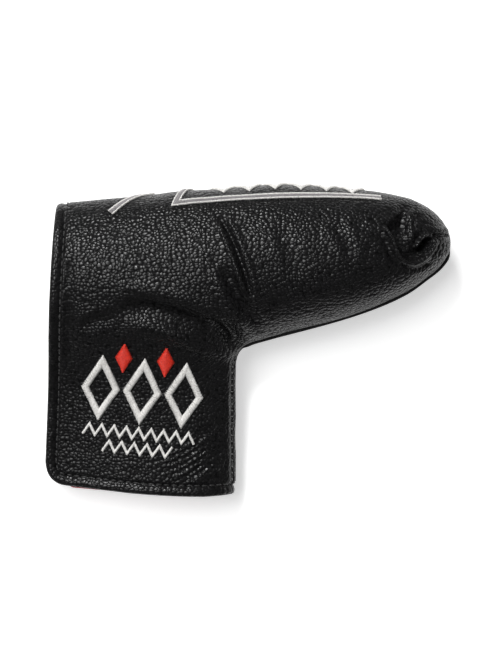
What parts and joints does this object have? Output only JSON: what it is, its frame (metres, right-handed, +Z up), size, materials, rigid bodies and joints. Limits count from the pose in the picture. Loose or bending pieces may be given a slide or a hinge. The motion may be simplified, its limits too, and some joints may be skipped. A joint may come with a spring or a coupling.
{
  "type": "putter head cover",
  "caption": "L-shaped padded leather cover for a blade putter's head, with a bound mouth down one side and a magnetic flap.",
  "frame": {"origin": "centre of the bounding box, at the height of the surface that the cover lies on", "axes": "+X to the toe, +Y to the spine, +Z up out of the front face; the neck hangs towards -Y at the heel end"},
  "size_m": [0.1599, 0.1232, 0.0418],
  "materials": {
    "leather": "pebbled, semi-gloss",
    "binding": "smooth turned edge, satin",
    "foam": "open-cell foam, matt",
    "plush_lining": "short-pile plush, matt",
    "magnet": "nickel-plated",
    "white_thread": "satin stitch, silky",
    "red_thread": "satin stitch, silky",
    "silver_thread": "satin stitch, silky",
    "black_thread": "bonded thread, satin"
  },
  "bodies": {
    "cover": {"cover_leather": "leather", "back_flap_magnet_upper": "magnet", "back_flap_magnet_lower": "magnet", "front_foam_pad": "foam", "back_foam_pad": "foam", "front_plush_lining": "plush_lining", "back_plush_lining": "plush_lining", "mouth_edge_binding": "binding", "emblem_diamond_centre_body_side": "white_thread", "emblem_diamond_right": "white_thread", "emblem_red_diamond_left": "red_thread", "emblem_red_diamond_right": "red_thread", "emblem_zigzag_long_body_side": "white_thread", "spine_frame_embroidery": "silver_thread", "spine_diamond_row_embroidery": "white_thread", "spine_chevron_embroidery": "silver_thread", "hem_corner_topstitch": "black_thread", "mouth_spine_topstitch": "black_thread", "back_flap_topstitch": "black_thread", "closing_seam_thread": "black_thread"},
    "front_flap": {"front_flap_leather": "leather", "front_flap_magnet_upper": "magnet", "front_flap_magnet_lower": "magnet", "front_flap_foam_pad": "foam", "front_flap_plush_lining": "plush_lining", "front_flap_edge_binding": "binding", "emblem_diamond_left": "white_thread", "emblem_diamond_centre_flap_side": "white_thread", "emblem_zigzag_long_flap_side": "white_thread", "emblem_zigzag_short": "white_thread", "front_flap_topstitch": "black_thread"}
  },
  "joints": [
    {"name": "front_flap_fold", "type": "hinge", "parent": "cover", "child": "front_flap", "pos_m": [-0.0455, -0.01575, 0.02703], "axis": [-0.5726, 0.806, 0.1502], "range_deg": [0, 60], "stiffness_Nm_per_rad": 0.02}
  ]
}
